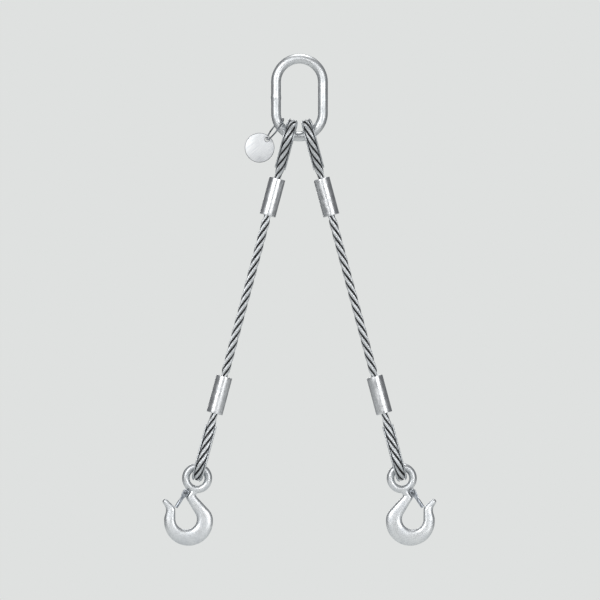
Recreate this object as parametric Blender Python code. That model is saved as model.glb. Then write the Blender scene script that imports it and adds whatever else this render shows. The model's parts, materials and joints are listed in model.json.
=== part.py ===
"""A two-leg wire rope sling: master link, two rope legs with thimble eyes and ferrules, latch hooks, tag.

Metres, +Z up. The origin is the inner crown of the master link, where the crane's hook carries it.
The sling hangs in the XZ plane and is looked at along +Y. Each leg is modelled in its own frame, which
turns about the centre of the link's bottom bend: z = -u runs down the leg, x points away from the
other leg (times the leg's side), and y is across the rope's eyes.
"""

import math

import bmesh
import bpy
from mathutils import Matrix, Vector

MM = 0.001
GAP = 0.3 * MM  # clearance between neighbours

# Master link: round bar, 16 x 60 x 110
BAR_RADIUS = 8 * MM
LINK_INNER_WIDTH = 60 * MM
LINK_INNER_LENGTH = 110 * MM
BEND_RADIUS = LINK_INNER_WIDTH / 2 + BAR_RADIUS
BEND_CENTRE = Vector((0, 0, LINK_INNER_WIDTH / 2 - LINK_INNER_LENGTH))

# Legs
LEG_ANGLE = math.radians(15)
LEG_OFFSET = 7 * MM  # the eyes share the bend, one each side of its middle
SIDES = {"left": -1, "right": 1}

# Rope: 13 mm nominal, at the top of its tolerance; pressed thinner inside the ferrules
ROPE_RADIUS = 6.8 * MM
PRESSED_RADIUS = 5.4 * MM
PAIR_OFFSET = 5.6 * MM  # half the distance between the two parts of the rope in a ferrule
DEAD_END_STUB = 3 * MM
SWELL_RUN = 6 * MM  # length over which the rope regains its full size

# Thimble: a channel round the rope, open outwards
CHANNEL_INNER = ROPE_RADIUS + GAP
CHANNEL_OUTER = CHANNEL_INNER + 1.9 * MM
FLANGE_HEIGHT = 8 * MM
BORE_RADIUS = 15 * MM
EYE_RADIUS = BORE_RADIUS + CHANNEL_OUTER  # of the rope's centre line round the crown

# Hook eye and the distances down a leg, from the bend's centre
EYE_HOLE_RADIUS = 12 * MM
HOOK_EYE_U = 614.4 * MM
TOP_FERRULE_U = 111.8 * MM
BOTTOM_FERRULE_U = 443.7 * MM
FERRULE_LENGTH = 62 * MM
FERRULE_RADIUS = 13 * MM
SEAT_GAP = 0.5 * MM

# Where the eyes' arcs are centred, so that each thimble rests in its bend or hole
TOP_CROWN_U = math.sqrt((BEND_RADIUS - BAR_RADIUS - GAP - CHANNEL_OUTER) ** 2 - LEG_OFFSET**2)
TOP_ARC_U = TOP_CROWN_U + EYE_RADIUS
BOTTOM_CROWN_U = HOOK_EYE_U - (EYE_HOLE_RADIUS - CHANNEL_OUTER - SEAT_GAP)
BOTTOM_ARC_U = BOTTOM_CROWN_U - EYE_RADIUS
FLEX_U = (TOP_FERRULE_U + FERRULE_LENGTH + BOTTOM_FERRULE_U) / 2

# Hook: thickness across its plane, and the latch's pin
HOOK_THICKNESS = 15 * MM
EYE_THICKNESS = 13 * MM
EYE_RIM_RADIUS = 24.4 * MM
HOOK_BEVEL = 4 * MM
LUG_RADIUS = 5.5 * MM
LUG_THICKNESS = 6 * MM
PIN_OUT, PIN_Z = 18 * MM, -22.8 * MM
PIN_RADIUS = 2.5 * MM
PIN_HOLE_RADIUS = PIN_RADIUS + GAP

# Latch: a channel with two cheeks that straddle the hook's neck
LATCH_LEAN = math.radians(33.6)
LATCH_LENGTH = 29.3 * MM
LATCH_HALF_WIDTH = 9.6 * MM
SHEET = 1.6 * MM
WEB_START = 15 * MM
WEB_OUTER = 3 * MM
PIN_HEAD_START = LATCH_HALF_WIDTH + GAP

# Latch spring
SPRING_WIRE_RADIUS = 0.55 * MM
SPRING_COIL_RADIUS = PIN_RADIUS + GAP + SPRING_WIRE_RADIUS
SPRING_PITCH = 1.3 * MM
SPRING_START_Y = LUG_THICKNESS / 2 + GAP + SPRING_WIRE_RADIUS

# Tag and its ring, seen from the bend's centre
TAG_WIRE_RADIUS = 1.25 * MM
TAG_SEAT_GAP = 0.8 * MM  # room for the ring to swing round the bar
TAG_SEAT_ANGLE = math.radians(70.7)  # from straight down, towards the left
TAG_HOLE = Vector((-52.4 * MM, 0, -43.0 * MM))
TAG_RING_TILT = math.radians(11.5)
TAG_RADIUS = 24 * MM
TAG_THICKNESS = 2 * MM
TAG_HOLE_RADIUS = 3.3 * MM
TAG_LEAN = math.radians(42.4)  # the disc hangs off to the left
TAG_HOLE_INSET = 18 * MM


# ---------------------------------------------------------------- scene and objects


def clear_scene():
    for obj in list(bpy.data.objects):
        bpy.data.objects.remove(obj, do_unlink=True)


def make_material(name, colour, roughness, metallic):
    material = bpy.data.materials.new(name)
    material.use_nodes = True
    shader = material.node_tree.nodes["Principled BSDF"]
    shader.inputs["Base Color"].default_value = (*colour, 1.0)
    shader.inputs["Roughness"].default_value = roughness
    shader.inputs["Metallic"].default_value = metallic
    return material


FINISHES = {
    "master_link": ((0.78, 0.79, 0.80), 0.42, 0.9),
    "rope": ((0.70, 0.71, 0.72), 0.45, 0.9),
    "thimble": ((0.74, 0.75, 0.77), 0.40, 0.9),
    "ferrule": ((0.86, 0.87, 0.88), 0.32, 0.95),
    "hook": ((0.80, 0.81, 0.82), 0.42, 0.85),
    "latch": ((0.76, 0.77, 0.78), 0.35, 0.9),
    "latch_pin": ((0.55, 0.56, 0.58), 0.30, 1.0),
    "latch_spring": ((0.40, 0.41, 0.43), 0.30, 1.0),
    "tag": ((0.85, 0.86, 0.87), 0.35, 0.95),
    "tag_ring": ((0.62, 0.63, 0.65), 0.32, 1.0),
}


def place(name, data, finish, parent=None, location=(0, 0, 0)):
    """Put a mesh or curve in the scene as a named node with its own material."""
    data.materials.append(make_material(name, *FINISHES[finish]))
    obj = bpy.data.objects.new(name, data)
    obj.location = location
    obj.parent = parent
    bpy.context.scene.collection.objects.link(obj)
    return obj


def pivot(name, location, turn_about_y=0.0, parent=None):
    """An empty on a joint's axis; the pieces that the joint moves are its children."""
    empty = bpy.data.objects.new(name, None)
    empty.location = location
    empty.rotation_euler = (0, turn_about_y, 0)
    empty.parent = parent
    bpy.context.scene.collection.objects.link(empty)
    return empty


# ---------------------------------------------------------------- shapes


def tube(points, radii, cyclic=False, resolution=3):
    """A round tube through points, with its own radius at each point."""
    curve = bpy.data.curves.new("tube", "CURVE")
    curve.dimensions = "3D"
    spline = curve.splines.new("POLY")
    spline.points.add(len(points) - 1)
    for target, point, radius in zip(spline.points, points, radii):
        target.co = (*point, 1)
        target.radius = radius / max(radii)
    spline.use_cyclic_u = cyclic
    curve.bevel_depth = max(radii)
    curve.bevel_resolution = resolution
    curve.use_fill_caps = True
    return curve


def mesh_from(name, bm):
    bmesh.ops.recalc_face_normals(bm, faces=bm.faces)
    mesh = bpy.data.meshes.new(name)
    bm.to_mesh(mesh)
    bm.free()
    return mesh


def bridge_rings(bm, rings, closed):
    """Join rings of vertices one to the next, and the last to the first when closed."""
    count = len(rings[0])
    pairs = list(zip(rings, rings[1:])) + ([(rings[-1], rings[0])] if closed else [])
    for low, high in pairs:
        for i in range(count):
            j = (i + 1) % count
            bm.faces.new((low[i], low[j], high[j], high[i]))


def loft(rings, closed=False):
    """A solid through rings of points: capped at both ends, or closed on itself."""
    bm = bmesh.new()
    vertex_rings = [[bm.verts.new(point) for point in ring] for ring in rings]
    bridge_rings(bm, vertex_rings, closed)
    if not closed:
        bm.faces.new(vertex_rings[0])
        bm.faces.new(vertex_rings[-1])
    return mesh_from("loft", bm)


def prism(outline, thickness, middle=0.0):
    """An (x, z) outline given a thickness along Y."""
    low, high = middle - thickness / 2, middle + thickness / 2
    return loft([[(x, low, z) for x, z in outline], [(x, high, z) for x, z in outline]])


def circle(radius, count, centre=(0, 0)):
    steps = [2 * math.pi * (i + 0.5) / count for i in range(count)]
    return [(centre[0] + radius * math.cos(a), centre[1] + radius * math.sin(a)) for a in steps]


def rounded(corners, step=math.radians(15)):
    """A closed outline from (x, z, radius) corners, each turned into an arc of its radius."""
    outline = []
    for i, (x, z, radius) in enumerate(corners):
        here = Vector((x, z))
        arriving = (here - Vector(corners[i - 1][:2])).normalized()
        leaving = (Vector(corners[(i + 1) % len(corners)][:2]) - here).normalized()
        turn = math.atan2(arriving.x * leaving.y - arriving.y * leaving.x, arriving.dot(leaving))
        if radius == 0 or abs(turn) < math.radians(1):
            outline.append((x, z))
            continue
        start = here - arriving * radius * math.tan(abs(turn) / 2)
        across = Vector((-arriving.y, arriving.x)) * math.copysign(radius, turn)
        count = max(2, round(abs(turn) / step))
        for k in range(count + 1):
            spoke = Matrix.Rotation(turn * k / count, 2) @ -across
            outline.append(tuple(start + across + spoke))
    return outline


def cut(obj, outline, thickness, parent, location=(0, 0, 0), middle=0.0):
    """Take a prism out of an object."""
    combine(obj, prism(outline, thickness, middle), "DIFFERENCE", parent, location)


def combine(obj, mesh, operation, parent, location=(0, 0, 0)):
    cutter = bpy.data.objects.new("tool_" + obj.name, mesh)
    cutter.location = location
    cutter.parent = parent
    cutter.hide_render = True
    cutter.display_type = "WIRE"
    bpy.context.scene.collection.objects.link(cutter)
    cutter.hide_set(True)
    boolean = obj.modifiers.new(operation.lower(), "BOOLEAN")
    boolean.operation = operation
    boolean.object = cutter
    boolean.solver = "EXACT"


def bevel(obj, width, segments, angle=math.radians(40)):
    modifier = obj.modifiers.new("bevel", "BEVEL")
    modifier.width = width
    modifier.segments = segments
    modifier.limit_method = "ANGLE"
    modifier.angle_limit = angle


# ---------------------------------------------------------------- master link


def build_master_link():
    arc = [math.pi * i / 16 for i in range(17)]
    top_z = -LINK_INNER_WIDTH / 2
    top = [(BEND_RADIUS * math.cos(a), 0, top_z + BEND_RADIUS * math.sin(a)) for a in arc]
    bottom = [(-BEND_RADIUS * math.cos(a), 0, BEND_CENTRE.z - BEND_RADIUS * math.sin(a)) for a in arc]
    points = top + bottom
    place("master_link", tube(points, [BAR_RADIUS] * len(points), cyclic=True, resolution=6), "master_link")


# ---------------------------------------------------------------- rope eye, thimble, ferrule


def eye_lean(mouth):
    """The angle between the leg and an eye's straight sides; mouth is the arc-to-ferrule distance."""
    knee = mouth - 9 * MM
    lean = math.asin(EYE_RADIUS / math.hypot(knee, PAIR_OFFSET)) - math.atan2(PAIR_OFFSET, knee)
    return knee, lean


def eye_half(mouth, last_spread=None):
    """Half an eye's centre line from the crown to the ferrule, as (spread, along, direction angle).

    It is an arc, a straight side, and a bend round the knee into the ferrule. With last_spread it ends
    on the straight side, where the spread has fallen to that value, as a thimble does.
    """
    knee, lean = eye_lean(mouth)
    arc_end = math.pi / 2 + lean
    half = []
    for i in range(9):
        a = arc_end * i / 8
        half.append((EYE_RADIUS * math.sin(a), -EYE_RADIUS * math.cos(a), a))
    if last_spread is not None:
        side_end = knee - (last_spread - PAIR_OFFSET) / math.tan(lean)
        half.append((last_spread, side_end, arc_end))
        return half
    round_off = 8 * MM
    side_end = knee - round_off
    spread_at = PAIR_OFFSET + round_off * math.tan(lean)
    start = half[-1]
    half.append(((start[0] + spread_at) / 2, (start[1] + side_end) / 2, arc_end))
    for i in range(5):
        t = i / 4
        spread = PAIR_OFFSET + (1 - t) ** 2 * round_off * math.tan(lean)
        half.append((spread, side_end + 2 * round_off * t, math.pi / 2 + lean * (1 - t)))
    return half


def rope_radius_at(spread, along):
    """Full size round the eye, squeezed where the two parts press together."""
    return ROPE_RADIUS if along < 0 else min(ROPE_RADIUS, spread - GAP / 2 - 0.05 * MM)


def rope_tube(arc_u, down, mouth, x):
    """One end of a leg's rope, from its dead end round the eye to the middle of the leg."""
    points, radii = [], []

    def add(spread, along, radius):
        points.append((x, spread, -(arc_u + down * along)))
        radii.append(radius)

    ferrule_end = mouth + FERRULE_LENGTH
    half = eye_half(mouth)
    add(PAIR_OFFSET, ferrule_end + DEAD_END_STUB, PRESSED_RADIUS)
    for spread, along, _ in reversed(half):
        add(spread, along, rope_radius_at(spread, along))
    for spread, along, _ in half[1:]:
        add(-spread, along, rope_radius_at(spread, along))
    swell = ferrule_end + DEAD_END_STUB + GAP
    flex = abs(FLEX_U - arc_u)
    add(-PAIR_OFFSET, swell, PRESSED_RADIUS)
    add(-PAIR_OFFSET, swell + SWELL_RUN, ROPE_RADIUS)
    free_start, free_end = swell + SWELL_RUN, flex - 2.4 * MM
    for i in range(1, 4):
        add(-PAIR_OFFSET, free_start + (free_end - free_start) * i / 4, ROPE_RADIUS)
    add(-PAIR_OFFSET, free_end, ROPE_RADIUS)
    add(-PAIR_OFFSET, flex - 0.2 * MM, 0.5 * MM)
    return tube(points, radii)


def channel_section():
    """The thimble's section as (out, sideways) from the rope's centre: a round trough with flanges."""
    angles = [math.pi / 2 + math.pi * i / 9 for i in range(10)]
    inner = [(CHANNEL_INNER * math.cos(a), CHANNEL_INNER * math.sin(a)) for a in angles]
    outer = [(CHANNEL_OUTER * math.cos(a), CHANNEL_OUTER * math.sin(a)) for a in reversed(angles)]
    return (
        [(FLANGE_HEIGHT, CHANNEL_INNER)]
        + inner
        + [(FLANGE_HEIGHT, -CHANNEL_INNER), (FLANGE_HEIGHT, -CHANNEL_OUTER)]
        + outer
        + [(FLANGE_HEIGHT, CHANNEL_OUTER)]
    )


def thimble_mesh(arc_u, down, mouth, x):
    _, lean = eye_lean(mouth)
    half = eye_half(mouth, last_spread=CHANNEL_OUTER * math.cos(lean) + GAP)
    path = [(-spread, along, -angle) for spread, along, angle in reversed(half[1:])] + half
    rings = []
    for spread, along, angle in path:
        out = (math.sin(angle), -math.cos(angle))
        ring = []
        for n, w in channel_section():
            ring.append((x + w, spread + n * out[0], -(arc_u + down * (along + n * out[1]))))
        rings.append(ring)
    return loft(rings)


def ferrule_mesh(top_u, x):
    """A short round bar with a slot through it that holds both parts of the rope side by side."""
    count, chamfer = 12, 1.2 * MM
    slot_radius = PRESSED_RADIUS + GAP
    half_turn = [math.pi * (i + 0.5) / count for i in range(count)]

    def ring(radius, offset, u):
        points = []
        for sign in (1, -1):
            for a in half_turn:
                points.append((x + sign * radius * math.cos(a), sign * (offset + radius * math.sin(a)), -u))
        return points

    low, high = top_u, top_u + FERRULE_LENGTH
    rings = [
        ring(FERRULE_RADIUS - chamfer, 0, low),
        ring(FERRULE_RADIUS, 0, low + chamfer),
        ring(FERRULE_RADIUS, 0, high - chamfer),
        ring(FERRULE_RADIUS - chamfer, 0, high),
        ring(slot_radius, PAIR_OFFSET, high),
        ring(slot_radius, PAIR_OFFSET, low),
    ]
    return loft(rings, closed=True)


# ---------------------------------------------------------------- hook, latch, pin, spring

# The hook's body below its eye, as corners (out, z, radius) in millimetres; out is its open side
HOOK_CORNERS = (
    (35.3, -47.8, 10),
    (50.9, -32.3, 4.2),
    (57.5, -36.8, 4.2),
    (49.0, -50.2, 14),
    (53.4, -64.0, 20),
    (53.3, -109.5, 39.4),
    (-25.7, -109.5, 39.4),
    (-25.7, -58.2, 25),
    (3.0, -27.6, 2.5),
    (-7.0, -23.3, 0),
    (-6.0, -16.0, 0),
    (8.0, -16.0, 0),
    (11.0, -21.0, 0),
    (18.4, -31.4, 1.5),
    (-12.35, -83.0, 16.6),
    (35.3, -83.0, 16.6),
)


def build_hook(tag, side, parent):
    corners = [(side * out * MM, z * MM, radius * MM) for out, z, radius in HOOK_CORNERS]
    hook = place("hook_" + tag, prism(rounded(corners), HOOK_THICKNESS), "hook", parent)
    bevel(hook, HOOK_BEVEL, 2)

    # the eye: a thick washer with rounded edges
    profile = rounded(
        [
            (EYE_HOLE_RADIUS, -EYE_THICKNESS / 2, HOOK_BEVEL),
            (EYE_RIM_RADIUS, -EYE_THICKNESS / 2, HOOK_BEVEL),
            (EYE_RIM_RADIUS, EYE_THICKNESS / 2, HOOK_BEVEL),
            (EYE_HOLE_RADIUS, EYE_THICKNESS / 2, HOOK_BEVEL),
        ],
        step=math.radians(45),
    )
    rings = []
    for i in range(32):
        a = 2 * math.pi * i / 32
        rings.append([(r * math.cos(a), y, r * math.sin(a)) for r, y in profile])
    combine(hook, loft(rings, closed=True), "UNION", parent)

    # the lug that carries the latch's pin, run back into the neck
    back = (10.5 * MM, -25.2 * MM)
    run = Vector((PIN_OUT - back[0], PIN_Z - back[1])).normalized()
    reach = Vector((-run.y, run.x)) * LUG_RADIUS
    lug = []
    for (out, z), sign in (((PIN_OUT, PIN_Z), 1), (back, -1)):
        for i in range(9):
            spoke = Matrix.Rotation(-math.pi * i / 8, 2) @ (reach * sign)
            lug.append((side * (out + spoke.x), z + spoke.y))
    combine(hook, prism(lug, LUG_THICKNESS), "UNION", parent)
    cut(hook, circle(PIN_HOLE_RADIUS, 16), 30 * MM, parent, (side * PIN_OUT, 0, PIN_Z))


def build_latch(tag, side, parent):
    """The latch in its pin's frame, where -z runs down the latch and side * x is its outer face."""
    inner = -2.8 * MM
    outline = rounded(
        [
            (side * 5.0 * MM, 5 * MM, 4.9 * MM),
            (side * -5.0 * MM, 5 * MM, 4.9 * MM),
            (side * -5.0 * MM, -4 * MM, 4 * MM),
            (side * inner, -10 * MM, 5 * MM),
            (side * inner, -LATCH_LENGTH, 1 * MM),
            (side * WEB_OUTER, -LATCH_LENGTH, 1 * MM),
            (side * WEB_OUTER, -10 * MM, 5 * MM),
            (side * 5.0 * MM, -4 * MM, 4 * MM),
        ],
        step=math.radians(30),
    )
    latch = place("latch_" + tag, prism(outline, 2 * LATCH_HALF_WIDTH), "latch", parent)
    inside = 2 * (LATCH_HALF_WIDTH - SHEET)
    web_inner = WEB_OUTER - SHEET
    beyond = 12 * MM
    hollow = [
        (side * beyond, beyond),
        (side * -beyond, beyond),
        (side * -beyond, -LATCH_LENGTH - beyond),
        (side * web_inner, -LATCH_LENGTH - beyond),
        (side * web_inner, -WEB_START),
        (side * beyond, -WEB_START),
    ]
    cut(latch, hollow, inside, parent)
    cut(latch, circle(PIN_HOLE_RADIUS, 16), 30 * MM, parent)


def pin_mesh():
    """Headed at one end and riveted over at the other; turned about Y."""
    head, tail = 1.4 * MM, 1.2 * MM
    profile = [
        (3.5 * MM, -PIN_HEAD_START - tail),
        (3.5 * MM, -PIN_HEAD_START),
        (PIN_RADIUS, -PIN_HEAD_START),
        (PIN_RADIUS, PIN_HEAD_START),
        (4.2 * MM, PIN_HEAD_START),
        (4.2 * MM, PIN_HEAD_START + head),
    ]
    return loft([[(x, y, z) for x, z in circle(radius, 16)] for radius, y in profile])


def spring_tube(side):
    """A torsion spring round the pin: one leg under the latch's web, one along the hook's neck."""
    points = []

    def add(angle, radius, y):
        """A point at an angle from straight down towards the hook's open side."""
        points.append((side * radius * math.sin(angle), y, -radius * math.cos(angle)))

    def leg_point(direction, distance, offset, y):
        out = distance * math.sin(direction) + offset * math.cos(direction)
        down = distance * math.cos(direction) - offset * math.sin(direction)
        points.append((side * out, y, -down))

    web_leg_start = LATCH_LEAN
    neck_lean = math.radians(35.4)
    first_y = SPRING_START_Y
    under_web = WEB_OUTER - SHEET - GAP - SPRING_WIRE_RADIUS
    leg_point(web_leg_start, 19 * MM, under_web, first_y)
    leg_point(web_leg_start, WEB_START - 1 * MM, under_web, first_y)
    leg_point(web_leg_start, 4 * MM, SPRING_COIL_RADIUS, first_y)
    start = web_leg_start + math.pi / 2
    turn = 5 * math.pi - (web_leg_start - neck_lean)
    count = 30
    for i in range(count + 1):
        add(start + turn * i / count, SPRING_COIL_RADIUS, first_y + SPRING_PITCH * turn * i / count / (2 * math.pi))
    last_y = first_y + SPRING_PITCH * turn / (2 * math.pi)
    leg_point(neck_lean, 7 * MM, -SPRING_COIL_RADIUS, last_y)
    return tube(points, [SPRING_WIRE_RADIUS] * len(points), resolution=2)


# ---------------------------------------------------------------- tag


def tag_frame():
    """The ring's top in the link's bend, its diameter, and its direction towards the tag."""
    seat_radius = BEND_RADIUS - BAR_RADIUS - TAG_WIRE_RADIUS - TAG_SEAT_GAP
    seat = Vector((-math.sin(TAG_SEAT_ANGLE), 0, -math.cos(TAG_SEAT_ANGLE))) * seat_radius
    hang = TAG_HOLE - seat
    return seat, hang.length, hang.normalized()


def build_tag():
    seat, diameter, along = tag_frame()
    across = Matrix.Rotation(-TAG_RING_TILT, 3, along) @ Vector((0, 1, 0))
    centre = seat + along * diameter / 2
    points = []
    for i in range(28):
        a = 2 * math.pi * i / 28
        points.append(centre + (along * math.cos(a) + across * math.sin(a)) * diameter / 2)
    ring = tube(points, [TAG_WIRE_RADIUS] * 28, cyclic=True, resolution=2)
    place("tag_ring", ring, "tag_ring", location=BEND_CENTRE)

    hole_world = BEND_CENTRE + TAG_HOLE
    hang = (-TAG_HOLE_INSET * math.sin(TAG_LEAN), -TAG_HOLE_INSET * math.cos(TAG_LEAN))
    swing = pivot("tag_swing", hole_world)
    tag = place("tag", prism(circle(TAG_RADIUS, 48, hang), TAG_THICKNESS), "tag", swing)
    bevel(tag, 0.3 * MM, 1)
    cut(tag, circle(TAG_HOLE_RADIUS, 16), 4 * TAG_THICKNESS, swing)


# ---------------------------------------------------------------- assembly


def build_leg(tag, side):
    leg_turn = -side * LEG_ANGLE
    leg = pivot("leg_spread_" + tag, BEND_CENTRE, leg_turn)
    x = side * LEG_OFFSET
    top_mouth = TOP_FERRULE_U - TOP_ARC_U
    place("top_thimble_" + tag, thimble_mesh(TOP_ARC_U, 1, top_mouth, x), "thimble", leg)
    place("top_ferrule_" + tag, ferrule_mesh(TOP_FERRULE_U, x), "ferrule", leg)
    place("rope_upper_" + tag, rope_tube(TOP_ARC_U, 1, top_mouth, x), "rope", leg)

    # the lower half of the leg, from the middle of the free rope
    flex_at = Vector((x, -PAIR_OFFSET, -FLEX_U))
    flex = pivot("rope_flex_" + tag, flex_at, parent=leg)
    bottom_mouth = BOTTOM_ARC_U - BOTTOM_FERRULE_U - FERRULE_LENGTH
    lower = (
        ("bottom_thimble_", thimble_mesh(BOTTOM_ARC_U, -1, bottom_mouth, x), "thimble"),
        ("bottom_ferrule_", ferrule_mesh(BOTTOM_FERRULE_U, x), "ferrule"),
        ("rope_lower_", rope_tube(BOTTOM_ARC_U, -1, bottom_mouth, x), "rope"),
    )
    for name, data, finish in lower:
        place(name + tag, data, finish, flex, -flex_at)

    # the hook hangs upright from the bottom eye
    hook = pivot("hook_swing_" + tag, Vector((x, 0, -HOOK_EYE_U)) - flex_at, -leg_turn, parent=flex)
    build_hook(tag, side, hook)
    pin_at = (side * PIN_OUT, 0, PIN_Z)
    place("latch_pin_" + tag, pin_mesh(), "latch_pin", hook, pin_at)
    place("latch_spring_" + tag, spring_tube(side), "latch_spring", hook, pin_at)
    latch = pivot("latch_turn_" + tag, pin_at, -side * LATCH_LEAN, parent=hook)
    build_latch(tag, side, latch)


def main():
    clear_scene()
    build_master_link()
    for tag, side in SIDES.items():
        build_leg(tag, side)
    build_tag()


main()
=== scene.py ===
"""Looks for the two-leg wire rope sling. The right leg is made first, and the left one is its mirror image."""

import json
import math

import bmesh
import bpy
from mathutils import Matrix, Vector


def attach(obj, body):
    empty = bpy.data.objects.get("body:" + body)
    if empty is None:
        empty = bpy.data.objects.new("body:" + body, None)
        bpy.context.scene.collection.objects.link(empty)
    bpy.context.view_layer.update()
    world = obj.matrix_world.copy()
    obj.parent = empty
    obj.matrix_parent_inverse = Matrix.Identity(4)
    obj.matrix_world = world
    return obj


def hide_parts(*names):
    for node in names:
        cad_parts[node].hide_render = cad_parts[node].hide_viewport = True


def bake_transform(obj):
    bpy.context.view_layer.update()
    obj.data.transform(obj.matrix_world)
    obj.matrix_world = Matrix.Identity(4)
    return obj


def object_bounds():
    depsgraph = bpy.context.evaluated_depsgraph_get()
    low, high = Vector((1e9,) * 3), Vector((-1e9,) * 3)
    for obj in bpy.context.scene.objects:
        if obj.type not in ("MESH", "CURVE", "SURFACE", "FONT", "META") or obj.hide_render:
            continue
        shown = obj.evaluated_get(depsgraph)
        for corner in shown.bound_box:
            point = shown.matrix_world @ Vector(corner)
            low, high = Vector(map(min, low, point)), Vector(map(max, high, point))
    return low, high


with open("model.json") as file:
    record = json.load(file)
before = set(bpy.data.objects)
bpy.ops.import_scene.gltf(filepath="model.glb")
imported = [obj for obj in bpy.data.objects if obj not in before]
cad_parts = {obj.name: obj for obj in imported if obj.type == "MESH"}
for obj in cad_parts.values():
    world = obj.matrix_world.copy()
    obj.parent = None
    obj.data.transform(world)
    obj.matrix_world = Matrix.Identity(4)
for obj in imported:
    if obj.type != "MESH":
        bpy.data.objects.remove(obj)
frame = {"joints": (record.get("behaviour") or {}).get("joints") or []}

cad_low, cad_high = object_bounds()

MM = 0.001
GAP = 0.3 * MM
JOINTS = {joint["name"]: joint for joint in frame["joints"]}
BEND_CENTRE = Vector(JOINTS["leg_spread_right"]["pos_m"])
HOOK_EYE = Vector(JOINTS["hook_swing_right"]["pos_m"])
LATCH_PIN = Vector(JOINTS["latch_turn_right"]["pos_m"])
LEG_ANGLE = math.radians(15)
LEG_OFFSET = 7 * MM  # the eyes share the link's bend, one each side of its middle
LEG = Matrix.Translation(BEND_CENTRE) @ Matrix.Rotation(-LEG_ANGLE, 4, "Y")  # its -z runs down the right leg

# Master link
BAR_RADIUS = 8 * MM
BEND_RADIUS = 38 * MM
TOP_BEND_Z = -30 * MM

# Rope
ROPE_RADIUS = 6.8 * MM
PRESSED_RADIUS = 5.4 * MM
PAIR_OFFSET = 5.6 * MM
DEAD_END_STUB = 3 * MM
SWELL_RUN = 6 * MM
EYE_RADIUS = 24 * MM
ROUND_OFF = 8 * MM
KNEE_BEFORE_MOUTH = 9 * MM
STRANDS = 4
STRAND_RADIUS = 3.6 * MM  # of the strands' outer faces, which the closing of the rope pressed together
WIRES = 14
ROPE_LAY = 80 * MM
WIRE_LAY = 46 * MM
STATION = 2.8 * MM

# Thimble
THIMBLE_INNER = 7.1 * MM
THIMBLE_OUTER = 9.0 * MM
THIMBLE_MIDDLE = (THIMBLE_INNER + THIMBLE_OUTER) / 2
THIMBLE_FLANGE = 8.0 * MM
CROWN_CLOSES_OVER = math.radians(75)

# Distances down a leg, from the bend's centre
FERRULE_LENGTH = 62 * MM
FERRULE_RADIUS = 13 * MM
TOP_FERRULE_U = 111.8 * MM
BOTTOM_FERRULE_U = 443.7 * MM
TOP_ARC_U = math.sqrt((20.7 * MM) ** 2 - LEG_OFFSET**2) + EYE_RADIUS
BOTTOM_ARC_U = 611.9 * MM - EYE_RADIUS
TOP_MOUTH = TOP_FERRULE_U - TOP_ARC_U
BOTTOM_MOUTH = BOTTOM_ARC_U - BOTTOM_FERRULE_U - FERRULE_LENGTH

# Latch and its spring
LATCH_LEAN = math.radians(33.6)
LATCH_LENGTH = 29.3 * MM
PIN_RADIUS = 2.5 * MM
SPRING_WIRE_RADIUS = 0.55 * MM
SPRING_COIL_RADIUS = PIN_RADIUS + GAP + SPRING_WIRE_RADIUS
SPRING_PITCH = 1.3 * MM
SPRING_FIRST_Y = 3 * MM + GAP + SPRING_WIRE_RADIUS


# ---------------------------------------------------------------- mesh helpers


def settled(bm):
    """Merge doubles and turn every face outwards."""
    bmesh.ops.remove_doubles(bm, verts=bm.verts, dist=0.01 * MM)
    bmesh.ops.recalc_face_normals(bm, faces=bm.faces)
    return bm


def ring_edges(verts):
    """The edges that join a ring's own vertices."""
    inside = set(verts)
    return list({edge for v in verts for edge in v.link_edges if edge.other_vert(v) in inside})


def circle(bm, radius, segments, matrix=Matrix.Identity(4)):
    return bmesh.ops.create_circle(bm, cap_ends=False, segments=segments, radius=radius, matrix=matrix)["verts"]


def loop(bm, points):
    """A closed ring of vertices and edges through a few points."""
    verts = [bm.verts.new(point) for point in points]
    for first, second in zip(verts, verts[1:] + verts[:1]):
        bm.edges.new((first, second))
    return verts


def cap(bm, verts):
    bmesh.ops.edgeloop_fill(bm, edges=ring_edges(verts))


def sweep(bm, verts, frames, closed=False, capped=True):
    """Extrude a ring that lies round the origin through a run of frames."""
    bmesh.ops.transform(bm, matrix=frames[0], verts=verts)
    first = verts
    if capped and not closed:
        cap(bm, first)
    for here, there in zip(frames, frames[1:]):
        pushed = bmesh.ops.extrude_edge_only(bm, edges=ring_edges(verts))["geom"]
        verts = [part for part in pushed if isinstance(part, bmesh.types.BMVert)]
        bmesh.ops.transform(bm, matrix=there @ here.inverted(), verts=verts)
    if closed:
        bmesh.ops.bridge_loops(bm, edges=ring_edges(verts) + ring_edges(first))
    elif capped:
        cap(bm, verts)
    return verts


def frame_at(point, along, side):
    """A frame with z along a path and x as near as it can be to side."""
    z = along.normalized()
    x = (side - z * side.dot(z)).normalized()
    y = z.cross(x)
    return Matrix.Translation(point) @ Matrix((x, y, z)).transposed().to_4x4()


def frames_along(points, side, closed=False):
    frames = []
    last = len(points) - 1
    for i, point in enumerate(points):
        before = points[i - 1] if closed or i else point
        after = points[(i + 1) % len(points)] if closed or i < last else point
        frames.append(frame_at(point, after - before, side))
    return frames


def evenly(points, step):
    """Points along a line, a step apart, or as near to it as makes the steps equal."""
    points = [Vector(point) for point in points]
    lengths = [(b - a).length for a, b in zip(points, points[1:])]
    total = sum(lengths)
    count = round(total / step)
    spaced, i, passed = [], 0, 0.0
    for k in range(count + 1):
        want = total * k / count
        while i < len(lengths) - 1 and passed + lengths[i] < want:
            passed += lengths[i]
            i += 1
        spaced.append(points[i].lerp(points[i + 1], min(1.0, (want - passed) / max(lengths[i], 1e-9))))
    return spaced, total


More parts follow.
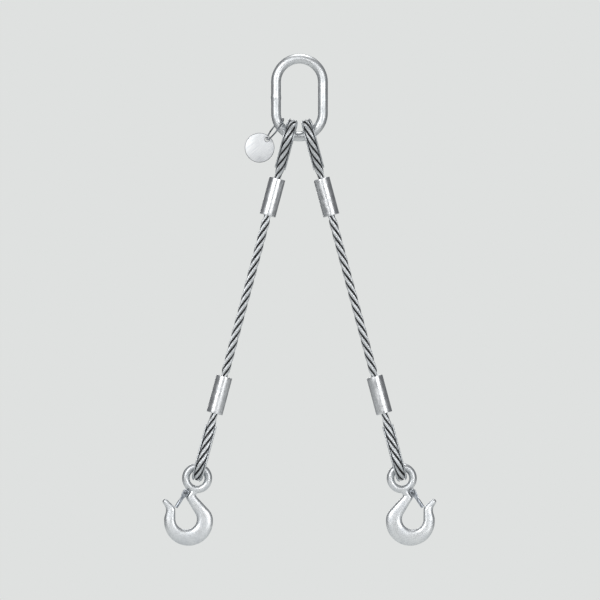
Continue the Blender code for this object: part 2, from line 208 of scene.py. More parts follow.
def rounded(corners, step=math.radians(12)):
    """A closed outline from (a, b, radius) corners, each turned into an arc of its radius."""
    outline = []
    for i, (a, b, radius) in enumerate(corners):
        here = Vector((a, b))
        arriving = (here - Vector(corners[i - 1][:2])).normalized()
        leaving = (Vector(corners[(i + 1) % len(corners)][:2]) - here).normalized()
        turn = math.atan2(arriving.x * leaving.y - arriving.y * leaving.x, arriving.dot(leaving))
        if radius == 0 or abs(turn) < math.radians(1):
            outline.append(here)
            continue
        start = here - arriving * radius * math.tan(abs(turn) / 2)
        across = Vector((-arriving.y, arriving.x)) * math.copysign(radius, turn)
        count = max(2, round(abs(turn) / step))
        for k in range(count + 1):
            outline.append(start + across - Matrix.Rotation(turn * k / count, 2) @ across)
    return outline


def plate(bm, outline, low, high):
    """A plate: an (x, z) outline between two y values."""
    verts = loop(bm, [(x, low, z) for x, z in outline])
    face = bmesh.ops.edgeloop_fill(bm, edges=ring_edges(verts))["faces"]
    pushed = bmesh.ops.extrude_face_region(bm, geom=face)["geom"]
    top = [part for part in pushed if isinstance(part, bmesh.types.BMVert)]
    bmesh.ops.translate(bm, vec=(0, high - low, 0), verts=top)
    bmesh.ops.holes_fill(bm, edges=ring_edges(verts))
    return verts + top


def smoothed(bm, rounds):
    for _ in range(rounds):
        bmesh.ops.smooth_vert(
            bm, verts=bm.verts, factor=0.5, use_axis_x=True, use_axis_y=True, use_axis_z=True
        )


def fused(bm, voxel, rounds):
    """One skin over closed parts that overlap, with the joins and edges eased."""
    settled(bm)
    mesh = bpy.data.meshes.new("parts")
    bm.to_mesh(mesh)
    bm.free()
    obj = bpy.data.objects.new("parts", mesh)
    bpy.context.scene.collection.objects.link(obj)
    remesh = obj.modifiers.new("skin", "REMESH")
    remesh.mode = "VOXEL"
    remesh.voxel_size = voxel
    skin = bpy.data.meshes.new_from_object(obj.evaluated_get(bpy.context.evaluated_depsgraph_get()))
    bpy.data.objects.remove(obj)
    bm = bmesh.new()
    bm.from_mesh(skin)
    smoothed(bm, rounds)
    return bm


def piece(name, bm, finish, sharp=math.radians(45)):
    mesh = bpy.data.meshes.new(name)
    bm.to_mesh(mesh)
    mesh.polygons.foreach_set("use_smooth", [True] * len(mesh.polygons))
    mesh.set_sharp_from_angle(angle=sharp)
    mesh.materials.append(finish)
    obj = bpy.data.objects.new(name, mesh)
    bpy.context.scene.collection.objects.link(obj)
    return obj


def pair(name, bm, finish, fix):
    """A right piece, and its mirror image on the left. fix(obj, tag, side) settles what each one moves with."""
    fix(piece(name + "_right", bm, finish), "right", 1)
    bmesh.ops.scale(bm, vec=(-1, 1, 1), verts=bm.verts)
    bmesh.ops.reverse_faces(bm, faces=bm.faces)
    fix(piece(name + "_left", bm, finish), "left", -1)
    bm.free()


def riding(body, node):
    """Ride on a body; {} in the names is where the side goes."""

    def fix(obj, tag, side):
        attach(obj, body.format(tag))
        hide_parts(node.format(tag))

    return fix


# ---------------------------------------------------------------- materials


def srgb(code):
    """A linear colour from an sRGB hex value."""
    channels = [int(code[i : i + 2], 16) / 255 for i in (0, 2, 4)]
    return [c / 12.92 if c <= 0.04045 else ((c + 0.055) / 1.055) ** 2.4 for c in channels] + [1.0]


def add(tree, kind, inputs, **settings):
    """Add a node. An input is a value, or a (node, output) pair to link."""
    made = tree.nodes.new("ShaderNode" + kind)
    for key, value in settings.items():
        setattr(made, key, value)
    for key, value in inputs.items():
        if isinstance(value, tuple) and isinstance(value[0], bpy.types.Node):
            tree.links.new(value[0].outputs[value[1]], made.inputs[key])
        else:
            made.inputs[key].default_value = value
    return made


def new_material(name, **sockets):
    """A material with its shader's plain sockets set, and the tree, shader and coordinates to build on."""
    material = bpy.data.materials.new(name)
    material.use_nodes = True
    tree = material.node_tree
    shader = tree.nodes["Principled BSDF"]
    for socket, value in sockets.items():
        shader.inputs[socket.replace("_", " ")].default_value = value
    return material, tree, shader, add(tree, "TexCoord", {})


def spread(tree, source, low, high, to_low, to_high):
    """A texture's useful range stretched to another, for roughness and mixing."""
    return add(
        tree,
        "MapRange",
        {"Value": source, "From Min": low, "From Max": high, "To Min": to_low, "To Max": to_high},
        interpolation_type="SMOOTHSTEP",
    )


def mix(tree, factor, first, second, blend="MIX"):
    return add(tree, "Mix", {0: factor, 6: first, 7: second}, data_type="RGBA", blend_type=blend)


def galvanised_forging(name, light, shade, grain):
    """Hot-dip galvanised drop forging: a pale satin zinc skin, faintly clouded where the crystals froze,
    over the slight orange peel of forged steel."""
    material, tree, shader, place = new_material(name, Metallic=0.9)
    where = (place, "Object")
    cloud = add(tree, "TexNoise", {"Vector": where, "Scale": 1 / (14 * MM), "Detail": 4.0, "Roughness": 0.55})
    crystal = add(tree, "TexVoronoi", {"Vector": where, "Scale": 1 / (4 * MM)}, feature="F1")
    peel = add(tree, "TexNoise", {"Vector": where, "Scale": 1 / (grain * MM), "Detail": 3.0})
    clouded = mix(tree, (spread(tree, (cloud, "Fac"), 0.3, 0.7, 0.0, 1.0), 0), srgb(shade), srgb(light))
    frosted = mix(tree, 0.15, (clouded, 2), (crystal, "Distance"), "SOFT_LIGHT")
    tree.links.new(frosted.outputs[2], shader.inputs["Base Color"])
    rough = spread(tree, (cloud, "Fac"), 0.3, 0.7, 0.50, 0.36)
    tree.links.new(rough.outputs[0], shader.inputs["Roughness"])
    bump = add(tree, "Bump", {"Height": (peel, "Fac"), "Strength": 0.25, "Distance": 0.12 * MM})
    tree.links.new(bump.outputs[0], shader.inputs["Normal"])
    return material


def galvanised_wire(name):
    """Drawn steel wire, galvanised: bright on the strands' crowns and dark between them, where painted shade lies in
    the grooves along with the lubricant that sits there, with each wire a little different along its length."""
    material, tree, shader, place = new_material(name, Metallic=0.7)
    where = (place, "Object")
    height = add(tree, "Attribute", {}, attribute_name="crown")
    grease_and_shade_cloud = add(tree, "TexNoise", {"Vector": where, "Scale": 1 / (9 * MM), "Detail": 3.0})
    streak = add(tree, "TexNoise", {"Vector": where, "Scale": 1 / (1.2 * MM), "Detail": 2.0})
    zinc = mix(tree, (spread(tree, (streak, "Fac"), 0.3, 0.7, 0.0, 1.0), 0), srgb("D2D6D9"), srgb("F3F5F6"))
    # Painted shade: the near-black tone in the grooves between strands, standing for the shade there as much as for
    # the lubricant.
    grease_and_painted_shade = mix(tree, (spread(tree, (grease_and_shade_cloud, "Fac"), 0.3, 0.7, 0.0, 1.0), 0), srgb("17181A"), srgb("2E3033"))
    crown = spread(tree, (height, "Fac"), 0.83, 0.92, 0.0, 1.0)
    coloured = mix(tree, (crown, 0), (grease_and_painted_shade, 2), (zinc, 2))
    tree.links.new(coloured.outputs[2], shader.inputs["Base Color"])
    rough = spread(tree, (height, "Fac"), 0.78, 0.95, 0.62, 0.36)
    tree.links.new(rough.outputs[0], shader.inputs["Roughness"])
    bump = add(tree, "Bump", {"Height": (streak, "Fac"), "Strength": 0.15, "Distance": 0.05 * MM})
    tree.links.new(bump.outputs[0], shader.inputs["Normal"])
    return material


def pressed_aluminium(name, turn):
    """Pressed aluminium sleeve: bright, drawn lines along it, and the dull scuffs that the dies leave."""
    material, tree, shader, place = new_material(name, Metallic=0.95)
    along = add(tree, "Mapping", {"Vector": (place, "Object"), "Rotation": (0, turn, 0)})
    stretched = add(tree, "Mapping", {"Vector": (along, 0), "Scale": (1 / (0.7 * MM), 1 / (0.7 * MM), 1 / (22 * MM))})
    drawn = add(tree, "TexNoise", {"Vector": (stretched, 0), "Scale": 1.0, "Detail": 3.0})
    scuff = add(tree, "TexNoise", {"Vector": (along, 0), "Scale": 1 / (8 * MM), "Detail": 5.0, "Roughness": 0.6})
    base = mix(tree, (spread(tree, (drawn, "Fac"), 0.35, 0.65, 0.0, 1.0), 0), srgb("E4E6E8"), srgb("F8F9FA"))
    worn = mix(tree, (spread(tree, (scuff, "Fac"), 0.52, 0.72, 0.0, 0.5), 0), (base, 2), srgb("CDD0D3"))
    tree.links.new(worn.outputs[2], shader.inputs["Base Color"])
    rough = spread(tree, (scuff, "Fac"), 0.35, 0.7, 0.30, 0.50)
    tree.links.new(rough.outputs[0], shader.inputs["Roughness"])
    bump = add(tree, "Bump", {"Height": (drawn, "Fac"), "Strength": 0.2, "Distance": 0.05 * MM})
    tree.links.new(bump.outputs[0], shader.inputs["Normal"])
    return material


def plated_sheet(name, light, shade, low_rough, high_rough):
    """Zinc-plated sheet or wire: smooth and bright, with faint cloudy passivation and fine rolling lines."""
    material, tree, shader, place = new_material(name, Metallic=1.0)
    where = (place, "Object")
    cloud = add(tree, "TexNoise", {"Vector": where, "Scale": 1 / (5 * MM), "Detail": 4.0})
    fine = add(tree, "TexNoise", {"Vector": where, "Scale": 1 / (0.5 * MM), "Detail": 2.0})
    tone = mix(tree, (spread(tree, (cloud, "Fac"), 0.3, 0.7, 0.0, 1.0), 0), srgb(shade), srgb(light))
    tree.links.new(tone.outputs[2], shader.inputs["Base Color"])
    rough = spread(tree, (cloud, "Fac"), 0.3, 0.7, low_rough, high_rough)
    tree.links.new(rough.outputs[0], shader.inputs["Roughness"])
    bump = add(tree, "Bump", {"Height": (fine, "Fac"), "Strength": 0.12, "Distance": 0.04 * MM})
    tree.links.new(bump.outputs[0], shader.inputs["Normal"])
    return material


def brushed_disc(name, centre, radius, hole, hole_radius):
    """Brushed aluminium sheet: fine straight lines from the belt, and a darker band of painted shade along the rim
    and round the hole, partly standing for where the punch sheared the rim and where the ring rubs."""
    material, tree, shader, place = new_material(name, Metallic=0.9)
    from_centre = add(tree, "VectorMath", {0: (place, "Object"), 1: centre}, operation="DISTANCE")
    from_hole = add(tree, "VectorMath", {0: (place, "Object"), 1: hole}, operation="DISTANCE")
    # Painted shade: a dark band along the disc's rim and round its hole, drawn in as an outline and partly standing
    # for shear and rubbing.
    rim = spread(tree, (from_centre, "Value"), radius - 1.3 * MM, radius - 0.2 * MM, 0.0, 1.0)
    hole_shade_and_rubbing = spread(tree, (from_hole, "Value"), hole_radius + 0.4 * MM, hole_radius + 1.8 * MM, 1.0, 0.0)
    edge = add(tree, "Math", {0: (rim, 0), 1: (hole_shade_and_rubbing, 0)}, operation="MAXIMUM")
    turned = add(tree, "Mapping", {"Vector": (place, "Object"), "Rotation": (0, math.radians(38), 0)})
    long = add(tree, "Mapping", {"Vector": (turned, 0), "Scale": (1 / (26 * MM), 1 / (0.5 * MM), 1 / (0.45 * MM))})
    line = add(tree, "TexNoise", {"Vector": (long, 0), "Scale": 1.0, "Detail": 3.0})
    cloud = add(tree, "TexNoise", {"Vector": (turned, 0), "Scale": 1 / (10 * MM), "Detail": 3.0})
    tone = mix(tree, (spread(tree, (line, "Fac"), 0.3, 0.7, 0.0, 1.0), 0), srgb("DADDE0"), srgb("F9FAFA"))
    # The painted edge shade laid over the brushed tone.
    shade_edged = mix(tree, (edge, 0), (tone, 2), srgb("6E7276"))
    tree.links.new(shade_edged.outputs[2], shader.inputs["Base Color"])
    rough = spread(tree, (cloud, "Fac"), 0.3, 0.7, 0.40, 0.46)
    tree.links.new(rough.outputs[0], shader.inputs["Roughness"])
    bump = add(tree, "Bump", {"Height": (line, "Fac"), "Strength": 0.2, "Distance": 0.03 * MM})
    tree.links.new(bump.outputs[0], shader.inputs["Normal"])
    return material


LINK_ZINC = galvanised_forging("galvanised_forged_steel_link", "EEF0F1", "DDE0E2", 1.6)
HOOK_ZINC = galvanised_forging("galvanised_forged_steel_hook", "EEF0F1", "DBDEE1", 1.3)
ROPE_ZINC = galvanised_wire("galvanised_steel_wire")
THIMBLE_ZINC = plated_sheet("galvanised_pressed_steel", "DFE2E4", "C9CDD0", 0.34, 0.46)
SLEEVES = {
    "right": pressed_aluminium("pressed_aluminium_right", LEG_ANGLE),
    "left": pressed_aluminium("pressed_aluminium_left", -LEG_ANGLE),
}
LATCH_ZINC = plated_sheet("zinc_plated_sheet_steel", "C6CBD1", "A9AFB6", 0.28, 0.38)
PIN_STEEL = plated_sheet("turned_steel", "8C9095", "73777C", 0.24, 0.34)
SPRING_STEEL = plated_sheet("spring_steel_wire", "62666B", "4A4D51", 0.28, 0.36)
RING_WIRE = plated_sheet("stainless_wire", "8F9397", "777B80", 0.26, 0.36)


# ---------------------------------------------------------------- master link


def link_mesh():
    """Round bar bent to an oblong and closed by a flash weld half way down one side."""
    bm = bmesh.new()
    start = Matrix.Translation((BEND_RADIUS, 0, TOP_BEND_Z))
    ring = circle(bm, BAR_RADIUS, 48, start)
    bends, runs = 44, 30
    drop = TOP_BEND_Z - BEND_CENTRE.z
    for centre, way in (((0, 0, TOP_BEND_Z), -1), (BEND_CENTRE, 1)):
        turned = bmesh.ops.spin(
            bm, geom=ring_edges(ring), cent=centre, axis=(0, -1, 0), angle=math.pi, steps=bends, use_merge=False
        )["geom_last"]
        ring = [part for part in turned if isinstance(part, bmesh.types.BMVert)]
        for _ in range(runs):
            pushed = bmesh.ops.extrude_edge_only(bm, edges=ring_edges(ring))["geom"]
            ring = [part for part in pushed if isinstance(part, bmesh.types.BMVert)]
            bmesh.ops.translate(bm, vec=(0, 0, way * drop / runs), verts=ring)
    settled(bm)
    weld = Vector((-BEND_RADIUS, 0, (TOP_BEND_Z + BEND_CENTRE.z) / 2))
    for v in bm.verts:
        off = (v.co.z - weld.z) / (3.2 * MM)
        if v.co.x < 0 and abs(off) < 3:
            swell = 0.55 * MM * math.exp(-off * off)
            out = Vector((v.co.x - weld.x, v.co.y, 0)).normalized()
            v.co += out * swell
    return bm


# ---------------------------------------------------------------- rope


def eye_lean(mouth):
    """The knee where an eye closes, and the angle between the leg and the eye's straight sides."""
    knee = mouth - KNEE_BEFORE_MOUTH
    return knee, math.asin(EYE_RADIUS / math.hypot(knee, PAIR_OFFSET)) - math.atan2(PAIR_OFFSET, knee)


def eye_half(mouth):
    """Half of an eye's centre line as (spread, along): an arc, a straight side, and a bend at the knee."""
    knee, lean = eye_lean(mouth)
    half = []
    for i in range(61):
        a = (math.pi / 2 + lean) * i / 60
        half.append((EYE_RADIUS * math.sin(a), -EYE_RADIUS * math.cos(a)))
    for i in range(21):
        t = i / 20
        spread_now = PAIR_OFFSET + (1 - t) ** 2 * ROUND_OFF * math.tan(lean)
        half.append((spread_now, knee - ROUND_OFF + 2 * ROUND_OFF * t))
    return half


def leg_route():
    """A leg's rope from one dead end to the other, as (y, distance down the leg)."""
    top, bottom = eye_half(TOP_MOUTH), eye_half(BOTTOM_MOUTH)
    route = [(PAIR_OFFSET, TOP_FERRULE_U + FERRULE_LENGTH + DEAD_END_STUB)]
    route += [(out, TOP_ARC_U + along) for out, along in reversed(top)]
    route += [(-out, TOP_ARC_U + along) for out, along in top[1:]]
    route += [(-out, BOTTOM_ARC_U - along) for out, along in reversed(bottom)]
    route += [(out, BOTTOM_ARC_U - along) for out, along in bottom[1:]]
    route.append((PAIR_OFFSET, BOTTOM_FERRULE_U - DEAD_END_STUB))
    return [(LEG_OFFSET, y, -u) for y, u in route]


def rope_size(point):
    """The rope's share of its full size: less in the ferrules and where its two parts meet."""
    out, u = abs(point.y), -point.z
    free_top = TOP_FERRULE_U + FERRULE_LENGTH + DEAD_END_STUB + GAP
    free_bottom = BOTTOM_FERRULE_U - DEAD_END_STUB - GAP
    if free_top < u < free_bottom:
        t = min(1.0, min(u - free_top, free_bottom - u) / SWELL_RUN)
        radius = PRESSED_RADIUS + (ROPE_RADIUS - PRESSED_RADIUS) * t * t * (3 - 2 * t)
    elif TOP_ARC_U < u < BOTTOM_ARC_U:
        radius = min(ROPE_RADIUS, out - 0.2 * MM)
    else:
        radius = ROPE_RADIUS
    return radius / ROPE_RADIUS


def straight_strand(count, length):
    """A ring of wires round a strand, twisted about its own axis, with the ends closed."""
    bm = bmesh.new()
    wire = STRAND_RADIUS * math.sin(math.pi / WIRES) / (1 + math.sin(math.pi / WIRES))
    ring = circle(bm, STRAND_RADIUS, 4 * WIRES)
    for v in ring:
        off = (math.atan2(v.co.y, v.co.x) + math.pi / WIRES) % (2 * math.pi / WIRES) - math.pi / WIRES
        centre = STRAND_RADIUS - wire
        reach = centre * math.cos(off) + math.sqrt(max(0.0, wire**2 - (centre * math.sin(off)) ** 2))
        v.co *= max(reach, STRAND_RADIUS - 0.8 * wire) / STRAND_RADIUS
    cap(bm, ring)
    twist = 2 * math.pi * length * (1 / WIRE_LAY + 1 / ROPE_LAY)
    end = bmesh.ops.spin(
        bm,
        geom=ring_edges(ring),
        cent=(0, 0, 0),
        axis=(0, 0, 1),
        dvec=(0, 0, length / count),
        angle=twist,
        steps=count,
        use_merge=False,
    )["geom_last"]
    cap(bm, [part for part in end if isinstance(part, bmesh.types.BMVert)])
    return bm


def rope_mesh():
    """Strands laid round each other along a leg's route. The right leg's rope has a left-hand lay."""
    route, length = evenly(leg_route(), STATION)
    count = len(route) - 1
    frames = frames_along(route, Vector((1, 0, 0)))
    sizes = [rope_size(point) for point in route]
    bm = straight_strand(count, length)
    crown = bm.verts.layers.float.new("crown")
    strand_at = ROPE_RADIUS - STRAND_RADIUS
    climb = math.atan(2 * math.pi * strand_at / ROPE_LAY)
    strand = list(bm.verts) + list(bm.edges) + list(bm.faces)
    turns = [strand]
    for _ in range(STRANDS - 1):
        copied = bmesh.ops.duplicate(bm, geom=strand)["geom"]
        turns.append(copied)
    for k, geometry in enumerate(turns):
        for v in geometry:
            if not isinstance(v, bmesh.types.BMVert):
                continue
            i = min(count, max(0, round(v.co.z / length * count)))
            turn = -2 * math.pi * (length * i / count / ROPE_LAY) + 2 * math.pi * k / STRANDS
            out = Vector((math.cos(turn), math.sin(turn), 0))
            way = Vector((math.sin(turn) * math.sin(climb), -math.cos(turn) * math.sin(climb), math.cos(climb)))
            local = (out * (strand_at + v.co.x) + way.cross(out) * v.co.y) * sizes[i]
            # How far out from the rope's axis a point lies: the wire's material paints shade into the grooves by it.
            v[crown] = Vector((local.x, local.y, 0)).length / (ROPE_RADIUS * sizes[i])
            v.co = frames[i] @ local
    bmesh.ops.transform(bm, matrix=LEG, verts=bm.verts)
    bmesh.ops.recalc_face_normals(bm, faces=bm.faces)
    return bm, [LEG @ point for point in route], length


def build_rope():
    bm, route, length = rope_mesh()

    def fix(obj, tag, side):
        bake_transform(obj)
        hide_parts("rope_upper_" + tag, "rope_lower_" + tag)

    pair("rope", bm, ROPE_ZINC, fix)


# ---------------------------------------------------------------- thimbles and ferrules


def curled(across, out, share):
    """A point of the channel's section, with its flanges curled by a share of the rope's own roundness."""
    if out <= 0 or share <= 0:
        return across, out
    bend_radius = THIMBLE_MIDDLE / share
    turn = out / bend_radius
    reach = bend_radius + abs(across) - THIMBLE_MIDDLE
    return math.copysign(THIMBLE_MIDDLE - bend_radius + reach * math.cos(turn), across), reach * math.sin(turn)


def thimble_section(bm):
    """A channel's closed outline: round outside and inside, with a rounded lip on each flange."""
    lip = (THIMBLE_OUTER - THIMBLE_INNER) / 2
    flange = [THIMBLE_FLANGE * i / 6 for i in range(1, 6)]
    section = []
    for i in range(13):
        a = math.pi / 2 + math.pi * i / 12
        section.append((THIMBLE_OUTER * math.cos(a), THIMBLE_OUTER * math.sin(a)))
    section += [(out, -THIMBLE_OUTER) for out in flange]
    for i in range(7):
        a = math.pi * i / 6
        section.append((THIMBLE_FLANGE - lip + lip * math.sin(a), -THIMBLE_MIDDLE - lip * math.cos(a)))
    section += [(out, -THIMBLE_INNER) for out in reversed(flange)]
    for i in range(13):
        a = -math.pi / 2 - math.pi * i / 12
        section.append((THIMBLE_INNER * math.cos(a), THIMBLE_INNER * math.sin(a)))
    section += [(out, THIMBLE_INNER) for out in flange]
    for i in range(7):
        a = math.pi * i / 6
        section.append((THIMBLE_FLANGE - lip + lip * math.sin(a), THIMBLE_MIDDLE - lip * math.cos(a)))
    section += [(out, THIMBLE_OUTER) for out in reversed(flange)]
    return loop(bm, [(out, across, 0) for out, across in section])


def thimble_mesh(arc_u, down, mouth):
    """A channel bent round the eye. Its flanges close over the rope at the crown and open towards the tips."""
    knee, lean = eye_lean(mouth)
    arc_end = math.pi / 2 + lean
    last_spread = THIMBLE_OUTER * math.cos(lean) + GAP
    side_end = knee - (last_spread - PAIR_OFFSET) / math.tan(lean)
    start = Vector((EYE_RADIUS * math.sin(arc_end), -EYE_RADIUS * math.cos(arc_end)))
    end = Vector((last_spread, side_end))
    half = []
    for i in range(33):
        a = arc_end * i / 32
        half.append((EYE_RADIUS * math.sin(a), -EYE_RADIUS * math.cos(a), a))
    half += [(*start.lerp(end, i / 14), arc_end) for i in range(1, 15)]
    path = [(-out, along, -a) for out, along, a in reversed(half[1:])] + half

    bm = bmesh.new()
    sweep(bm, thimble_section(bm), [Matrix.Translation((0, 0, i)) for i in range(len(path))])
    for v in bm.verts:
        out, along, a = path[round(v.co.z)]
        closing = max(0.0, 1 - abs(a) / CROWN_CLOSES_OVER)
        across, beyond = curled(v.co.y, v.co.x, closing * closing * (3 - 2 * closing))
        point = Vector((LEG_OFFSET, out, -(arc_u + down * along)))
        v.co = point + Vector((across, beyond * math.sin(a), down * beyond * math.cos(a)))
    bmesh.ops.transform(bm, matrix=LEG, verts=bm.verts)
    return settled(bm)


def ferrule_mesh(top_u):
    """A sleeve pressed round both parts of the rope: chamfered ends and a flash line down each side."""
    bm = bmesh.new()
    chamfer = 1.0 * MM
    profile = [(FERRULE_RADIUS - 1.6 * chamfer, 0.0)]
    for i in range(7):
        a = math.pi / 2 * i / 6
        profile.append((FERRULE_RADIUS - chamfer * (1 - math.sin(a)), chamfer * (1 - math.cos(a))))
    rows = profile + [(FERRULE_RADIUS, FERRULE_LENGTH * i / 12) for i in range(1, 12)]
    rows += [(radius, FERRULE_LENGTH - along) for radius, along in reversed(profile)]
    ring = circle(bm, 1.0, 96)
    frames = [
        Matrix.Translation((LEG_OFFSET, 0, -(top_u + along))) @ Matrix.Diagonal((radius, radius, 1, 1))
        for radius, along in rows
    ]
    sweep(bm, ring, frames)
    for v in bm.verts:
        off = math.atan2(abs(v.co.y), abs(v.co.x - LEG_OFFSET)) * FERRULE_RADIUS / (0.55 * MM)
        v.co.x += math.copysign(0.22 * MM * math.exp(-off * off), v.co.x - LEG_OFFSET)
    bmesh.ops.transform(bm, matrix=LEG, verts=bm.verts)
    return settled(bm)


# ---------------------------------------------------------------- hook

# The hook in pairs of outline points (out, z) in mm, inner then outer, with the section's thickness
HOOK_INNER = ((10, -17, 0), (12.5, -23, 6), (18.4, -31.4, 2), (-12.35, -83.0, 16.6), (35.3, -83.0, 16.6), (35.3, -47.8, 10), (53.0, -30.3, 0))
HOOK_OUTER = ((-8, -17, 0), (3.0, -27.6, 2.5), (-25.7, -58.2, 25), (-25.7, -109.5, 39.4), (53.3, -109.5, 39.4), (53.4, -64.0, 20), (49.0, -50.2, 14), (57.9, -36.2, 0))


def nearest_share(line, point):
    """How far along a line its nearest point to another is, as a length."""
    best, passed, found = 1e9, 0.0, 0.0
    for a, b in zip(line, line[1:]):
        step = b - a
        t = min(1.0, max(0.0, (point - a).dot(step) / max(step.length_squared, 1e-12)))
        off = (a + step * t - point).length
        if off < best:
            best, found = off, passed + step.length * t
        passed += step.length
    return found


def at_length(line, want):
    for a, b in zip(line, line[1:]):
        step = (b - a).length
        if want <= step:
            return a.lerp(b, want / max(step, 1e-9))
        want -= step
    return line[-1]


# Points of the inner and the outer line that face each other, with the hook's thickness there
HOOK_MATCHES = (
    ((10, -17), (-8, -17), 11.0),
    ((18.2, -31.2), (3.4, -28.4), 12.0),
    ((6.0, -52.0), (-17.0, -50.0), 13.4),
    ((-7.5, -74.0), (-25.6, -76.0), 14.6),
    ((-1.0, -79.5), (-18.5, -97.0), 14.9),
    ((11.5, -83.0), (13.8, -109.4), 14.9),
    ((28.0, -78.5), (44.5, -96.0), 14.6),
    ((35.3, -64.0), (53.0, -72.0), 13.4),
    ((37.0, -50.0), (50.5, -55.0), 11.6),
    ((43.0, -39.4), (51.3, -46.8), 10.4),
    ((47.6, -34.4), (55.2, -41.0), 9.6),
)


def hook_frames():
    inner, outer = rounded(HOOK_INNER, math.radians(6)), rounded(HOOK_OUTER, math.radians(6))
    inner_at = [nearest_share(inner, Vector(a)) for a, _, _ in HOOK_MATCHES]
    outer_at = [nearest_share(outer, Vector(b)) for _, b, _ in HOOK_MATCHES]
    thick = [t for _, _, t in HOOK_MATCHES]
    stations = []
    for i in range(len(HOOK_MATCHES) - 1):
        steps = 8
        for k in range(steps + (i == len(HOOK_MATCHES) - 2)):
            t = k / steps
            a = at_length(inner, inner_at[i] + (inner_at[i + 1] - inner_at[i]) * t)
            b = at_length(outer, outer_at[i] + (outer_at[i + 1] - outer_at[i]) * t)
            stations.append((a, b, thick[i] + (thick[i + 1] - thick[i]) * t))
    return stations


def hook_body(bm):
    """The hook's limb: rounded sections between its inner and outer lines, thicker on the inside."""
    stations = hook_frames()
    tip_in, tip_out, tip_thick = stations[-1]
    past = (tip_out - tip_in).orthogonal()
    for i in range(1, 6):
        a = math.pi / 2 * i / 6
        middle = (tip_in + tip_out) / 2 + past / 2 * math.sin(a)
        half = (tip_out - tip_in) / 2 * math.cos(a)
        stations.append((middle - half, middle + half, tip_thick * math.cos(a)))
    base = circle(bm, 1.0, 40)
    for v in base:
        a = math.atan2(v.co.y, v.co.x)
        v.co.x = math.copysign(abs(math.cos(a)) ** 0.8, math.cos(a))
        v.co.y = math.copysign(abs(math.sin(a)) ** 0.8, math.sin(a)) * (1 - 0.12 * math.cos(a))
        v.co.y /= 1.02
    frames = []
    for a, b, thickness in stations:
        half = (b - a) / 2 * MM
        centre = (a + b) / 2 * MM
        x = Vector((half.x, 0, half.y))
        y = Vector((0, thickness / 2 * MM, 0))
        z = x.cross(y).normalized()
        frames.append(Matrix.Translation((centre.x, 0, centre.y)) @ Matrix((x, y, z)).transposed().to_4x4())
    sweep(bm, base, frames)


def hook_mesh():
    """Eye, limb and latch lug in one forging."""
    bm = bmesh.new()
    hook_body(bm)
    section = circle(bm, 1.0, 28, Matrix.Translation((18.2 * MM, 0, 0)) @ Matrix.Diagonal((6.2 * MM, 6.5 * MM, 1, 1)))
    turned = bmesh.ops.spin(
        bm, geom=ring_edges(section), cent=(0, 0, 0), axis=(0, 1, 0), angle=2 * math.pi, steps=72, use_merge=True
    )
    lug_root = Vector((10.5, -25.2)) * MM
    lug_pin = Vector((18.0, -22.8)) * MM
    run = (lug_pin - lug_root).normalized()
    reach = Vector((-run.y, run.x)) * 5.5 * MM
    outline = []
    for centre, sign in ((lug_pin, 1), (lug_root, -1)):
        for i in range(17):
            outline.append(centre + Matrix.Rotation(-math.pi * i / 16, 2) @ (reach * sign))
    plate(bm, outline, -2.9 * MM, 2.9 * MM)
    bm = fused(bm, 0.7 * MM, 4)
    bmesh.ops.translate(bm, vec=HOOK_EYE, verts=bm.verts)
    return bm


# ---------------------------------------------------------------- latch, pin, spring

LATCH = Matrix.Translation(LATCH_PIN) @ Matrix.Rotation(-LATCH_LEAN, 4, "Y")


def latch_mesh():
    """Sheet folded to a channel: a web with round bends, and two cheeks that reach up to ears round the pin."""
    bm = bmesh.new()
    cheek = rounded(
        [
            (5.0 * MM, 5 * MM, 4.9 * MM),
            (-5.0 * MM, 5 * MM, 4.9 * MM),
            (-5.0 * MM, -4 * MM, 4 * MM),
            (-2.7 * MM, -10 * MM, 5 * MM),
            (-2.7 * MM, 0.4 * MM - LATCH_LENGTH, 0.8 * MM),
            (1.2 * MM, 0.4 * MM - LATCH_LENGTH, 0),
            (1.2 * MM, -16 * MM, 0),
            (2.9 * MM, -14 * MM, 1 * MM),
            (3.0 * MM, -10 * MM, 5 * MM),
            (5.0 * MM, -4 * MM, 4 * MM),
        ]
    )
    for low, high in ((-9.5 * MM, -8.1 * MM), (8.1 * MM, 9.5 * MM)):
        plate(bm, cheek, low, high)
    channel = rounded(
        [
            (-2.8 * MM, -9.6 * MM, 0),
            (3.0 * MM, -9.6 * MM, 2.6 * MM),
            (3.0 * MM, 9.6 * MM, 2.6 * MM),
            (-2.8 * MM, 9.6 * MM, 0),
            (-2.8 * MM, 8.0 * MM, 0),
            (1.4 * MM, 8.0 * MM, 1.0 * MM),
            (1.4 * MM, -8.0 * MM, 1.0 * MM),
            (-2.8 * MM, -8.0 * MM, 0),
        ]
    )
    ring = loop(bm, [(x, y, 0) for x, y in channel])
    sweep(bm, ring, [Matrix.Translation((0, 0, -z * MM)) for z in (15, 20, 25, LATCH_LENGTH / MM)])
    bm = fused(bm, 0.4 * MM, 3)
    bmesh.ops.transform(bm, matrix=LATCH, verts=bm.verts)
    return bm


def pin_mesh():
    """A headed pin, domed at its head and peened over at its other end."""
    bm = bmesh.new()
    seat = 9.9 * MM
    profile = [
        (0.0, -seat - 1.2 * MM),
        (2.4 * MM, -seat - 1.15 * MM),
        (3.3 * MM, -seat - 0.7 * MM),
        (3.5 * MM, -seat - 0.2 * MM),
        (3.4 * MM, -seat),
        (PIN_RADIUS, -seat),
        (PIN_RADIUS, seat),
        (4.05 * MM, seat),
        (4.2 * MM, seat + 0.2 * MM),
        (4.1 * MM, seat + 0.7 * MM),
        (3.3 * MM, seat + 1.15 * MM),
        (0.0, seat + 1.4 * MM),
    ]
    line = [bm.verts.new((radius, y, 0)) for radius, y in profile]
    edges = [bm.edges.new(ends) for ends in zip(line, line[1:])]
    bmesh.ops.spin(
        bm, geom=edges, cent=(0, 0, 0), axis=(0, 1, 0), angle=2 * math.pi, steps=32, use_merge=True
    )
    bmesh.ops.translate(bm, vec=LATCH_PIN, verts=bm.verts)
    return settled(bm)


